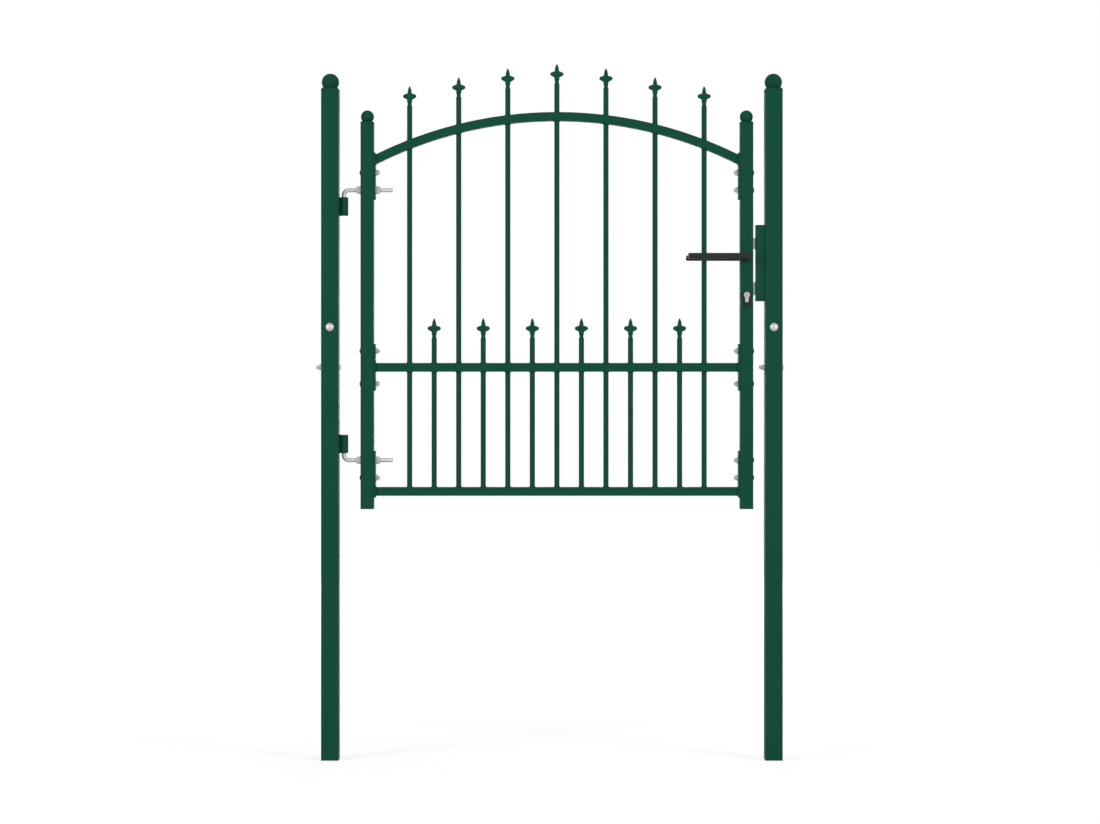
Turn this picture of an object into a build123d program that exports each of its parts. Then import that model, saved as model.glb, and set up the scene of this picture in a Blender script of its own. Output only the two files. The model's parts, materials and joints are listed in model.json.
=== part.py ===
"""Spiked steel garden gate: an arched leaf of round pickets hung between two square posts.

Millimetres. The origin is the middle of the hinge post's foot. +X runs to the lock post,
+Y away from the side that shows the round bolt heads, and +Z up.
"""

import os
from math import sqrt

from build123d import *

# Posts: square tube, closed at the foot by a welded plate
post_width = 40.0
post_wall = 1.5
post_length = 1535.0
post_foot_plate = 3.0

# Leaf between the posts: two square stiles, closed at the foot in the same way
hinge_gap = 50.0
lock_gap = 27.0
leaf_drop = 75.5
stile_width = 30.0
stile_wall = 1.5
stile_length = 884.0
stile_foot_plate = 2.0

# Rails of the leaf: the lower two rise from the foot of the stiles, the arch stands over their top
rail_width = 20.0
rail_wall = 1.2
bottom_rail_rise = 40.3
middle_rail_rise = 325.0
arch_lift = 16.5
arch_radius = 928.0
tube_corner = 2.0
rail_corner = 1.6

# Plates on the rails' ends, which lie against the stiles
plate_thickness = 4.0
plate_width = 28.0
plate_height = 107.0
plate_corner = 2.5
plate_overhang = 4.0
plate_bolt_offset = 32.0

# Pickets: round tubes that stand on the bottom rail and pass through the rails above it
picket_diameter = 12.0
picket_wall = 1.0
picket_clearance = 0.2
picket_pitch = 112.7
picket_margin = 111.9
tall_picket_count = 7
tall_tip_lift = 137.5
tall_tip_drop = 51.0
tip_drop_shares = (0, 0.2, 0.6, 1)
short_tip_lift = 112.5

# Spear points: a round stem and blade with a flat leaf on each side
spike_height = 47.0
spike_width = 30.6
spike_thickness = 7.6
spike_draft_angle = 18.0
spike_neck_diameter = 9.4
spike_swell_diameter = 12.2
spike_blade_diameter = 9.8
spike_tip_diameter = 1.4
spigot_length = 14.0
spigot_clearance = 0.2
neck_height_share = 0.12
swell_height_share = 0.25
lobe_low_share = 0.27
lobe_side_share = 0.44
lobe_outer_share = 0.505
lobe_shoulder_share = 0.6
lobe_top_share = 0.69
blade_base_share = 0.67
blade_bow_share = 0.84
blade_bow_width_share = 0.78
lobe_side_width_share = 0.92
lobe_shoulder_width_share = 0.81

# Ball caps on the posts and the stiles
cap_flange = 3.0
cap_lip = 0.3
cap_plug_depth = 20.0
cap_plug_clearance = 0.25
cap_ledge = 2.0
post_cap_slope = 3.4
post_cap_neck = 33.6
post_ball_diameter = 40.0
stile_cap_slope = 2.2
stile_cap_neck = 24.6
stile_ball_diameter = 30.0

# Hinges: a bent rod through the stile, which turns in a barrel welded to the post
hinge_offset = 11.0
rod_diameter = 10.0
rod_bend_radius = 12.0
rod_tail = 40.0
rod_hole_clearance = 0.5
thread_clearance = 0.15
rod_chamfer = 1.2
barrel_diameter = 20.0
barrel_length = 42.0
barrel_clearance = 0.3
barrel_stand = 16.5
barrel_weld_width = 13.0
barrel_chamfer = 0.8
hinge_nut_flats = 17.0
hinge_nut_height = 8.0
hinge_washer_diameter = 20.0
hinge_washer_thickness = 2.0

# Bolts through the posts, which take the fence on either side
post_bolt_diameter = 8.0
post_bolt_hole = 9.0
post_bolt_reach = 13.0
post_bolt_head_diameter = 19.0
post_bolt_head_height = 4.4
post_nut_flats = 13.0
post_nut_height = 6.5
front_bolt_lift = 92.0

# Lock in the lock stile, with the spindle on the stile's centre line
spindle_rise = 578.6
spindle_width = 7.0
cylinder_drop = 88.1
latch_lift = 30.4
dead_bolt_drop = 73.1
case_depth = 24.0
case_width = 16.0
case_wall = 1.2
case_margin = 8.0
case_spindle_hole = 12.4
faceplate_width = 20.0
faceplate_thickness = 1.5
faceplate_margin = 15.0
lock_clearance = 0.3

# Key cylinder of the usual keyhole section
cylinder_diameter = 14.0
cylinder_height = 24.0
cylinder_tail_width = 8.4
cylinder_proud = 1.2
plug_diameter = 10.6
plug_proud = 0.8
keyway_width = 1.8
keyway_height = 7.0
keyway_depth = 6.0

# Rosettes round the spindle and the key cylinder
handle_rosette_diameter = 21.0
handle_rosette_thickness = 5.0
key_rosette_width = 20.0
key_rosette_height = 42.0
key_rosette_thickness = 2.5
key_rosette_drop = 8.8
rosette_edge = 1.0

# Lever handles
lever_reach = 136.0
lever_height = 12.4
lever_depth = 10.0
lever_stand = 47.0
lever_hub_diameter = 14.4
lever_neck_diameter = 13.0
lever_neck_gap = 0.6
lever_edge = 2.6
socket_clearance = 0.15
socket_end = 36.0

# Latch bolt and dead bolt, drawn in so that their noses stop just short of the strike
latch_height = 24.0
latch_thickness = 12.0
latch_bevel = 8.0
dead_bolt_height = 30.0
dead_bolt_thickness = 10.0
dead_bolt_tail_height = 18.0
dead_bolt_head_length = 10.0
dead_bolt_edge = 0.8
bolt_proud = 4.5
latch_tail = 22.0
dead_bolt_tail = 21.0

# Strike: a bent channel on the lock post, slotted for the two bolts
strike_reach = 21.0
strike_over_slot = 27.5
strike_under_slot = 10.5
strike_width = 32.0
strike_sheet = 2.0
strike_bend = 3.5
strike_slot_clearance = 2.5

# One overrun serves every cut
overrun = 5.0

# Places worked out from the sizes above
hinge_face = post_width / 2
stile_top = post_length - leaf_drop
stile_foot = stile_top - stile_length
leaf_width = (tall_picket_count - 1) * picket_pitch + 2 * picket_margin
leaf_left = hinge_face + hinge_gap
leaf_right = leaf_left + leaf_width
leaf_middle = (leaf_left + leaf_right) / 2
lock_face = leaf_right + lock_gap
lock_post_x = lock_face + post_width / 2
hinge_stile_x = leaf_left + stile_width / 2
lock_stile_x = leaf_right - stile_width / 2
rail_left = leaf_left + stile_width + plate_thickness
rail_right = leaf_right - stile_width - plate_thickness
rail_span = rail_right - rail_left
bottom_rail_z = stile_foot + bottom_rail_rise
middle_rail_z = stile_foot + middle_rail_rise
arch_centre_z = stile_top + arch_lift - arch_radius
arch_end_z = arch_centre_z + sqrt((arch_radius + rail_width / 2) ** 2 - (rail_span / 2) ** 2)
upper_plate_z = arch_end_z + plate_overhang - plate_height / 2
lower_plate_z = bottom_rail_z - rail_width / 2 - plate_overhang + plate_height / 2
picket_seat_z = bottom_rail_z + rail_width / 2
hinge_axis_x = hinge_face + hinge_offset
upper_rod_z = upper_plate_z - plate_bolt_offset
lower_rod_z = lower_plate_z + plate_bolt_offset
side_bolt_z = middle_rail_z
front_bolt_z = middle_rail_z + front_bolt_lift
spindle_z = stile_foot + spindle_rise
cylinder_z = spindle_z - cylinder_drop
latch_z = spindle_z + latch_lift
dead_bolt_z = spindle_z - dead_bolt_drop
faceplate_back = leaf_right - faceplate_thickness
cylinder_tail = cylinder_height - cylinder_diameter / 2 - cylinder_tail_width / 2
case_low = cylinder_z - cylinder_height + cylinder_diameter / 2 - case_margin
case_high = latch_z + latch_height / 2 + case_margin
faceplate_height = case_high - case_low + 2 * faceplate_margin
faceplate_z = (case_low + case_high) / 2
strike_face = lock_face - strike_reach
strike_low = dead_bolt_z - dead_bolt_height / 2 - strike_slot_clearance - strike_under_slot
strike_high = latch_z + latch_height / 2 + strike_slot_clearance + strike_over_slot
stile_face = stile_width / 2
tall_half = tall_picket_count // 2
tall_steps = range(-tall_half, tall_half + 1)
tall_places = [leaf_middle + step * picket_pitch for step in tall_steps]
tall_tips = [stile_top + tall_tip_lift - tall_tip_drop * tip_drop_shares[abs(step)] for step in tall_steps]
short_places = [place + picket_pitch / 2 for place in tall_places[:-1]]
short_tip = middle_rail_z + short_tip_lift

os.makedirs("parts", exist_ok=True)


def square_section(width, wall, corner):
    """Draw a square tube's section, with rounded corners, in the sketch that is being built."""
    bore = width - 2 * wall
    RectangleRounded(width, width, corner)
    RectangleRounded(bore, bore, corner - wall / 2, mode=Mode.SUBTRACT)


def key_section(growth):
    """Draw the key cylinder's section, larger by growth all round, in the current sketch."""
    Circle(cylinder_diameter / 2 + growth)
    with Locations((0, -cylinder_tail / 2)):
        Rectangle(cylinder_tail_width + 2 * growth, cylinder_tail)
    with Locations((0, -cylinder_tail)):
        Circle(cylinder_tail_width / 2 + growth)


def front_plane(x, y, z):
    """Give an upright plane that faces the viewer, with its origin at a point of the gate."""
    return Plane(origin=(x, y, z), x_dir=(1, 0, 0), z_dir=(0, -1, 0))


def side_plane(x, y, z):
    """Give an upright plane that faces the lock post, with its origin at a point of the gate."""
    return Plane(origin=(x, y, z), x_dir=(0, 1, 0), z_dir=(1, 0, 0))


# Posts, drilled for the fence bolts
for post_name, post_x in (("hinge_post", 0), ("lock_post", lock_post_x)):
    with BuildPart() as post:
        with BuildSketch(Plane((post_x, 0, 0))):
            RectangleRounded(post_width, post_width, tube_corner)
        extrude(amount=post_foot_plate)
        with BuildSketch(Plane((post_x, 0, post_foot_plate))):
            square_section(post_width, post_wall, tube_corner)
        extrude(amount=post_length - post_foot_plate)
        with BuildSketch(side_plane(post_x, 0, side_bolt_z)):
            Circle(post_bolt_hole / 2)
        extrude(amount=post_width, both=True, mode=Mode.SUBTRACT)
        with BuildSketch(front_plane(post_x, 0, front_bolt_z)):
            Circle(post_bolt_hole / 2)
        extrude(amount=post_width, both=True, mode=Mode.SUBTRACT)
    post.part.label = post_name
    export_step(post.part, f"parts/{post_name}.step")

# Stiles: the hinge stile is drilled for the rods, the lock stile is cut out for the lock
with BuildPart() as hinge_stile:
    with BuildSketch(Plane((hinge_stile_x, 0, stile_foot))):
        RectangleRounded(stile_width, stile_width, tube_corner)
    extrude(amount=stile_foot_plate)
    with BuildSketch(Plane((hinge_stile_x, 0, stile_foot + stile_foot_plate))):
        square_section(stile_width, stile_wall, tube_corner)
    extrude(amount=stile_length - stile_foot_plate)
    for rod_z in (lower_rod_z, upper_rod_z):
        with BuildSketch(side_plane(hinge_stile_x, 0, rod_z)):
            Circle(rod_diameter / 2 + rod_hole_clearance)
        extrude(amount=stile_width, both=True, mode=Mode.SUBTRACT)
hinge_stile.part.label = "hinge_stile"
export_step(hinge_stile.part, "parts/hinge_stile.step")

with BuildPart() as lock_stile:
    with BuildSketch(Plane((lock_stile_x, 0, stile_foot))):
        RectangleRounded(stile_width, stile_width, tube_corner)
    extrude(amount=stile_foot_plate)
    with BuildSketch(Plane((lock_stile_x, 0, stile_foot + stile_foot_plate))):
        square_section(stile_width, stile_wall, tube_corner)
    extrude(amount=stile_length - stile_foot_plate)
    with BuildSketch(front_plane(lock_stile_x, 0, spindle_z)):
        Circle(case_spindle_hole / 2)
    extrude(amount=stile_width, both=True, mode=Mode.SUBTRACT)
    with BuildSketch(front_plane(lock_stile_x, 0, cylinder_z)):
        key_section(lock_clearance)
    extrude(amount=stile_width, both=True, mode=Mode.SUBTRACT)
    with BuildSketch(side_plane(leaf_right - stile_wall, 0, faceplate_z)):
        Rectangle(faceplate_width + 2 * lock_clearance, faceplate_height + 2 * lock_clearance)
    extrude(amount=stile_wall + overrun, mode=Mode.SUBTRACT)
lock_stile.part.label = "lock_stile"
export_step(lock_stile.part, "parts/lock_stile.step")


def ball_cap(width, wall, slope, neck, ball_diameter):
    """Build a cap that seats on a square tube at the origin: plug, flange, sloped neck and ball.

    The ball sinks into the neck's top and leaves a narrow ledge round its foot.
    """
    plug = width - 2 * wall - 2 * cap_plug_clearance
    neck_z = cap_flange + slope
    ball_radius = ball_diameter / 2
    foot_radius = neck / 2 - cap_ledge
    ball_z = neck_z + sqrt(ball_radius**2 - foot_radius**2)
    with BuildPart() as cap:
        with BuildSketch(Plane.XY.offset(-cap_plug_depth)):
            RectangleRounded(plug, plug, tube_corner - wall / 2)
        extrude(amount=cap_plug_depth)
        with BuildSketch(Plane.XY):
            RectangleRounded(width + 2 * cap_lip, width + 2 * cap_lip, tube_corner)
        extrude(amount=cap_flange)
        with BuildSketch(Plane.XY.offset(cap_flange)):
            RectangleRounded(width, width, tube_corner)
        with BuildSketch(Plane.XY.offset(neck_z)):
            RectangleRounded(neck, neck, tube_corner)
        loft()
        with BuildSketch(Plane.XZ):
            with BuildLine():
                Line((0, ball_z + ball_radius), (0, neck_z))
                Line((0, neck_z), (foot_radius, neck_z))
                ThreePointArc((foot_radius, neck_z), (ball_radius, ball_z), (0, ball_z + ball_radius))
            make_face()
        revolve(axis=Axis.Z)
    return cap.part


post_cap = ball_cap(post_width, post_wall, post_cap_slope, post_cap_neck, post_ball_diameter)
stile_cap = ball_cap(stile_width, stile_wall, stile_cap_slope, stile_cap_neck, stile_ball_diameter)
for cap_name, cap_form, cap_place in (
    ("hinge_post_cap", post_cap, (0, 0, post_length)),
    ("lock_post_cap", post_cap, (lock_post_x, 0, post_length)),
    ("hinge_stile_cap", stile_cap, (hinge_stile_x, 0, stile_top)),
    ("lock_stile_cap", stile_cap, (lock_stile_x, 0, stile_top)),
):
    with BuildPart() as placed_cap:
        with Locations(cap_place):
            add(cap_form)
    placed_cap.part.label = cap_name
    export_step(placed_cap.part, f"parts/{cap_name}.step")

# Straight rails: the middle one is drilled through for all pickets
picket_hole_radius = picket_diameter / 2 + picket_clearance
with BuildPart() as middle_rail:
    with BuildSketch(side_plane(rail_left, 0, middle_rail_z)):
        square_section(rail_width, rail_wall, rail_corner)
    extrude(amount=rail_span)
    with BuildSketch(Plane.XY.offset(middle_rail_z)):
        with Locations([(place, 0) for place in tall_places + short_places]):
            Circle(picket_hole_radius)
    extrude(amount=rail_width, both=True, mode=Mode.SUBTRACT)
middle_rail.part.label = "middle_rail"
export_step(middle_rail.part, "parts/middle_rail.step")

with BuildPart() as bottom_rail:
    with BuildSketch(side_plane(rail_left, 0, bottom_rail_z)):
        square_section(rail_width, rail_wall, rail_corner)
    extrude(amount=rail_span)
bottom_rail.part.label = "bottom_rail"
export_step(bottom_rail.part, "parts/bottom_rail.step")


def arch_band(thickness, span):
    """Draw the bent rail's elevation in the current sketch: a ring cut off at the end plates."""
    Circle(arch_radius + thickness / 2)
    Circle(arch_radius - thickness / 2, mode=Mode.SUBTRACT)
    with Locations((0, arch_radius)):
        Rectangle(span, arch_radius, mode=Mode.INTERSECT)


# Arched top rail: a square tube bent to a circle, drilled for the tall pickets
with BuildPart() as arch_rail:
    with BuildSketch(front_plane(leaf_middle, 0, arch_centre_z)):
        arch_band(rail_width, rail_span)
    extrude(amount=rail_width / 2, both=True)
    fillet(arch_rail.edges().filter_by(GeomType.CIRCLE), radius=rail_corner)
    with BuildSketch(front_plane(leaf_middle, 0, arch_centre_z)):
        arch_band(rail_width - 2 * rail_wall, rail_span + overrun)
    extrude(amount=rail_width / 2 - rail_wall, both=True, mode=Mode.SUBTRACT)
    with BuildSketch(Plane.XY.offset(arch_centre_z + arch_radius)):
        with Locations([(place, 0) for place in tall_places]):
            Circle(picket_hole_radius)
    extrude(amount=arch_radius, both=True, mode=Mode.SUBTRACT)
arch_rail.part.label = "arch_rail"
export_step(arch_rail.part, "parts/arch_rail.step")

# End plates: the upper and lower pairs reach inwards from the rail, and a hinge rod passes each
for plate_name, plate_z, rod_heights in (
    ("upper_end_plates", upper_plate_z, [upper_rod_z]),
    ("middle_end_plates", middle_rail_z, []),
    ("lower_end_plates", lower_plate_z, [lower_rod_z]),
):
    with BuildPart() as end_plates:
        for plate_x in (leaf_left + stile_width, rail_right):
            with BuildSketch(side_plane(plate_x, 0, plate_z)):
                RectangleRounded(plate_width, plate_height, plate_corner)
            extrude(amount=plate_thickness)
        for rod_z in rod_heights:
            with BuildSketch(side_plane(rail_left, 0, rod_z)):
                Circle(rod_diameter / 2 + rod_hole_clearance)
            extrude(amount=plate_thickness + overrun, both=True, mode=Mode.SUBTRACT)
    end_plates.part.label = plate_name
    export_step(end_plates.part, f"parts/{plate_name}.step")


def picket(place, top):
    """Build one upright tube from the bottom rail to the foot of its spear point."""
    with BuildPart() as tube:
        with BuildSketch(Plane((place, 0, picket_seat_z))):
            Circle(picket_diameter / 2)
            Circle(picket_diameter / 2 - picket_wall, mode=Mode.SUBTRACT)
        extrude(amount=top - picket_seat_z)
    return tube.part


for number, (place, tip) in enumerate(zip(tall_places, tall_tips), start=1):
    tall_picket = picket(place, tip - spike_height)
    tall_picket.label = f"tall_picket_{number}"
    export_step(tall_picket, f"parts/tall_picket_{number}.step")

for number, place in enumerate(short_places, start=1):
    short_picket = picket(place, short_tip - spike_height)
    short_picket.label = f"short_picket_{number}"
    export_step(short_picket, f"parts/short_picket_{number}.step")

# Spear point at the origin: a flat casting with a leaf on each side, on a round stem and blade
half_width = spike_width / 2
seat_radius = picket_diameter / 2
spigot_radius = seat_radius - picket_wall - spigot_clearance
neck_radius = spike_neck_diameter / 2
blade_radius = spike_blade_diameter / 2
tip_radius = spike_tip_diameter / 2
swell = (spike_swell_diameter / 2, spike_height * swell_height_share)
blade_base = (blade_radius, spike_height * blade_base_share)
blade_bow = (blade_radius * blade_bow_width_share, spike_height * blade_bow_share)
lobe_low = (0, spike_height * lobe_low_share)
lobe_side = (half_width * lobe_side_width_share, spike_height * lobe_side_share)
lobe_outer = (half_width, spike_height * lobe_outer_share)
lobe_shoulder = (half_width * lobe_shoulder_width_share, spike_height * lobe_shoulder_share)
lobe_top = (0, spike_height * lobe_top_share)
with BuildPart() as spike:
    with BuildSketch(Plane.XZ):
        with BuildLine():
            Line(lobe_low, lobe_side)
            ThreePointArc(lobe_side, lobe_outer, lobe_shoulder)
            Line(lobe_shoulder, lobe_top)
            mirror(about=Plane.YZ)
        make_face()
    extrude(amount=spike_thickness / 2, both=True, taper=spike_draft_angle)
    with BuildSketch(Plane.XZ):
        with BuildLine():
            Polyline(
                (0, spike_height),
                (0, -spigot_length),
                (spigot_radius, -spigot_length),
                (spigot_radius, 0),
                (seat_radius, 0),
            )
            ThreePointArc((seat_radius, 0), (neck_radius, spike_height * neck_height_share), swell)
            Line(swell, blade_base)
            ThreePointArc(blade_base, blade_bow, (tip_radius, spike_height))
            Line((tip_radius, spike_height), (0, spike_height))
        make_face()
    revolve(axis=Axis.Z)

for row_name, row_places, row_tips in (
    ("tall_spikes", tall_places, tall_tips),
    ("short_spikes", short_places, [short_tip] * len(short_places)),
):
    with BuildPart() as spikes:
        with Locations([(place, 0, tip - spike_height) for place, tip in zip(row_places, row_tips)]):
            add(spike.part)
    spikes.part.label = row_name
    export_step(spikes.part, f"parts/{row_name}.step")


def hinge_barrel(low):
    """Build a sleeve from height low, flattened where it is welded to the post."""
    with BuildPart() as barrel:
        with BuildSketch(Plane((hinge_axis_x, 0, low))):
            Circle(barrel_diameter / 2)
            with Locations((-hinge_offset / 2, 0)):
                Rectangle(hinge_offset, barrel_weld_width)
            Circle(rod_diameter / 2 + barrel_clearance, mode=Mode.SUBTRACT)
        extrude(amount=barrel_length)
        chamfer(barrel.edges().filter_by(GeomType.CIRCLE), length=barrel_chamfer)
    return barrel.part


upper_barrel = hinge_barrel(upper_rod_z - barrel_stand - barrel_length)
upper_barrel.label = "upper_hinge_barrel"
export_step(upper_barrel, "parts/upper_hinge_barrel.step")
lower_barrel = hinge_barrel(lower_rod_z + barrel_stand)
lower_barrel.label = "lower_hinge_barrel"
export_step(lower_barrel, "parts/lower_hinge_barrel.step")


def hinge_rod(height, way):
    """Build a bent rod at a height, whose leg points up or down by way and fills its barrel."""
    rod_end = rail_left + rod_tail
    leg_end = height + way * (barrel_stand + barrel_length)
    with BuildPart() as rod:
        with BuildLine():
            FilletPolyline(
                (rod_end, 0, height),
                (hinge_axis_x, 0, height),
                (hinge_axis_x, 0, leg_end),
                radius=rod_bend_radius,
            )
        with BuildSketch(side_plane(rod_end, 0, height)):
            Circle(rod_diameter / 2)
        sweep()
        chamfer(rod.faces().sort_by(Axis.X)[-1].edges(), length=rod_chamfer)
    return rod.part


upper_rod = hinge_rod(upper_rod_z, -1)
upper_rod.label = "upper_hinge_rod"
export_step(upper_rod, "parts/upper_hinge_rod.step")
lower_rod = hinge_rod(lower_rod_z, 1)
lower_rod.label = "lower_hinge_rod"
export_step(lower_rod, "parts/lower_hinge_rod.step")

# Nuts and washers that clamp each rod to the stile from both sides
washer_faces = (leaf_left - hinge_washer_thickness, rail_left)
nut_faces = (leaf_left - hinge_washer_thickness - hinge_nut_height, rail_left + hinge_washer_thickness)
thread_radius = rod_diameter / 2 + thread_clearance
with BuildPart() as hinge_washers:
    for washer_x in washer_faces:
        for rod_z in (lower_rod_z, upper_rod_z):
            with BuildSketch(side_plane(washer_x, 0, rod_z)):
                Circle(hinge_washer_diameter / 2)
                Circle(thread_radius, mode=Mode.SUBTRACT)
            extrude(amount=hinge_washer_thickness)
hinge_washers.part.label = "hinge_washers"
export_step(hinge_washers.part, "parts/hinge_washers.step")

with BuildPart() as hinge_nuts:
    for nut_x in nut_faces:
        for rod_z in (lower_rod_z, upper_rod_z):
            with BuildSketch(side_plane(nut_x, 0, rod_z)):
                RegularPolygon(hinge_nut_flats / 2, 6, major_radius=False)
                Circle(thread_radius, mode=Mode.SUBTRACT)
            extrude(amount=hinge_nut_height)
hinge_nuts.part.label = "hinge_nuts"
export_step(hinge_nuts.part, "parts/hinge_nuts.step")

# Fence bolt with its head's seat at the origin and its thread along +Z
head_radius = post_bolt_head_diameter / 2
dome_radius = (head_radius**2 + post_bolt_head_height**2) / (2 * post_bolt_head_height)
with BuildPart() as fence_bolt:
    with BuildSketch(Plane.XY):
        Circle(post_bolt_diameter / 2)
    extrude(amount=post_width + post_bolt_reach)
    with BuildSketch(Plane.XZ):
        with BuildLine():
            Line((0, -post_bolt_head_height), (0, 0))
            Line((0, 0), (head_radius, 0))
            RadiusArc((head_radius, 0), (0, -post_bolt_head_height), dome_radius)
        make_face()
    revolve(axis=Axis.Z)

with BuildPart() as fence_nut:
    with BuildSketch(Plane.XY.offset(post_width)):
        RegularPolygon(post_nut_flats / 2, 6, major_radius=False)
        Circle(post_bolt_diameter / 2 + thread_clearance, mode=Mode.SUBTRACT)
    extrude(amount=post_nut_height)

# Each post takes one bolt from side to side and one from front to back
fence_bolt_planes = []
for post_x in (0, lock_post_x):
    side_seat = (post_x + post_width / 2, 0, side_bolt_z)
    front_seat = (post_x, -post_width / 2, front_bolt_z)
    fence_bolt_planes.append(Plane(origin=side_seat, x_dir=(0, 1, 0), z_dir=(-1, 0, 0)))
    fence_bolt_planes.append(Plane(origin=front_seat, x_dir=(1, 0, 0), z_dir=(0, 1, 0)))

with BuildPart() as fence_bolts:
    with Locations(fence_bolt_planes):
        add(fence_bolt.part)
fence_bolts.part.label = "fence_bolts"
export_step(fence_bolts.part, "parts/fence_bolts.step")

with BuildPart() as fence_nuts:
    with Locations(fence_bolt_planes):
        add(fence_nut.part)
fence_nuts.part.label = "fence_nuts"
export_step(fence_nuts.part, "parts/fence_nuts.step")

# Strike: sheet bent to a channel, with a slot for each bolt
with BuildPart() as strike_box:
    with BuildSketch(Plane((strike_face + strike_reach / 2, 0, strike_low))):
        Rectangle(strike_reach, strike_width)
    extrude(amount=strike_high - strike_low)
    bends = strike_box.edges().filter_by(Axis.Z).group_by(Axis.X)[0]
    fillet(bends, radius=strike_bend)
    inside = strike_width - 2 * strike_sheet
    with BuildSketch(Plane((lock_face, 0, strike_low))):
        with Locations(((strike_sheet - strike_reach) / 2, 0)):
            Rectangle(strike_reach - strike_sheet, inside)
    extrude(amount=strike_high - strike_low, mode=Mode.SUBTRACT)
    for slot_z, bolt_height, bolt_thickness in (
        (latch_z, latch_height, latch_thickness),
        (dead_bolt_z, dead_bolt_height, dead_bolt_thickness),
    ):
        with BuildSketch(side_plane(strike_face - overrun, 0, slot_z)):
            Rectangle(bolt_thickness + 2 * strike_slot_clearance, bolt_height + 2 * strike_slot_clearance)
        extrude(amount=strike_sheet + 2 * overrun, mode=Mode.SUBTRACT)
strike_box.part.label = "strike_box"
export_step(strike_box.part, "parts/strike_box.step")

# Lock case: a thin box inside the stile, open to the faceplate
with BuildPart() as lock_case:
    with BuildSketch(Plane((faceplate_back - case_depth / 2, 0, case_low))):
        Rectangle(case_depth, case_width)
    extrude(amount=case_high - case_low)
    offset(amount=-case_wall, openings=lock_case.faces().sort_by(Axis.X)[-1])
    with BuildSketch(front_plane(lock_stile_x, 0, spindle_z)):
        Circle(case_spindle_hole / 2)
    extrude(amount=case_width, both=True, mode=Mode.SUBTRACT)
    with BuildSketch(front_plane(lock_stile_x, 0, cylinder_z)):
        key_section(lock_clearance)
    extrude(amount=case_width, both=True, mode=Mode.SUBTRACT)
lock_case.part.label = "lock_case"
export_step(lock_case.part, "parts/lock_case.step")

# Faceplate: lies flush in the stile's wall, slotted for the two bolts
with BuildPart() as lock_faceplate:
    with BuildSketch(side_plane(faceplate_back, 0, faceplate_z)):
        Rectangle(faceplate_width, faceplate_height)
        with Locations((0, latch_z - faceplate_z)):
            Rectangle(
                latch_thickness + 2 * lock_clearance,
                latch_height + 2 * lock_clearance,
                mode=Mode.SUBTRACT,
            )
        with Locations((0, dead_bolt_z - faceplate_z)):
            Rectangle(
                dead_bolt_thickness + 2 * lock_clearance,
                dead_bolt_height + 2 * lock_clearance,
                mode=Mode.SUBTRACT,
            )
    extrude(amount=faceplate_thickness)
lock_faceplate.part.label = "lock_faceplate"
export_step(lock_faceplate.part, "parts/lock_faceplate.step")

# Key cylinder: the keyhole section right through the stile, with a plug and a keyway at each end
cylinder_half = stile_face + key_rosette_thickness + cylinder_proud
with BuildPart() as key_cylinder:
    with BuildSketch(front_plane(lock_stile_x, 0, cylinder_z)):
        key_section(0)
    extrude(amount=cylinder_half, both=True)
    with BuildSketch(front_plane(lock_stile_x, 0, cylinder_z)):
        Circle(plug_diameter / 2)
    extrude(amount=cylinder_half + plug_proud, both=True)
    for side in (-1, 1):
        keyway_y = side * (cylinder_half + plug_proud)
        with Locations((lock_stile_x, keyway_y, cylinder_z)):
            Box(keyway_width, 2 * keyway_depth, keyway_height, mode=Mode.SUBTRACT)
key_cylinder.part.label = "key_cylinder"
export_step(key_cylinder.part, "parts/key_cylinder.step")

# Rosettes on both faces of the stile
with BuildPart() as handle_rosettes:
    for side in (-1, 1):
        rosette_y = side * (stile_face + handle_rosette_thickness / 2)
        with BuildSketch(front_plane(lock_stile_x, rosette_y, spindle_z)):
            Circle(handle_rosette_diameter / 2)
            Circle(lever_neck_diameter / 2 + lock_clearance, mode=Mode.SUBTRACT)
        extrude(amount=handle_rosette_thickness / 2, both=True)
    rims = handle_rosettes.edges().filter_by(GeomType.CIRCLE).filter_by(
        lambda rim: rim.radius == handle_rosette_diameter / 2
    )
    outer_rims = rims.group_by(Axis.Y)
    chamfer(outer_rims[0] + outer_rims[-1], length=rosette_edge)
handle_rosettes.part.label = "handle_rosettes"
export_step(handle_rosettes.part, "parts/handle_rosettes.step")

with BuildPart() as key_rosettes:
    for side in (-1, 1):
        rosette_y = side * (stile_face + key_rosette_thickness / 2)
        with BuildSketch(front_plane(lock_stile_x, rosette_y, cylinder_z)):
            with Locations((0, -key_rosette_drop)):
                SlotOverall(key_rosette_height, key_rosette_width, rotation=90)
        extrude(amount=key_rosette_thickness / 2, both=True)
    with BuildSketch(front_plane(lock_stile_x, 0, cylinder_z)):
        key_section(lock_clearance)
    extrude(amount=stile_width, both=True, mode=Mode.SUBTRACT)
key_rosettes.part.label = "key_rosettes"
export_step(key_rosettes.part, "parts/key_rosettes.step")


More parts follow.
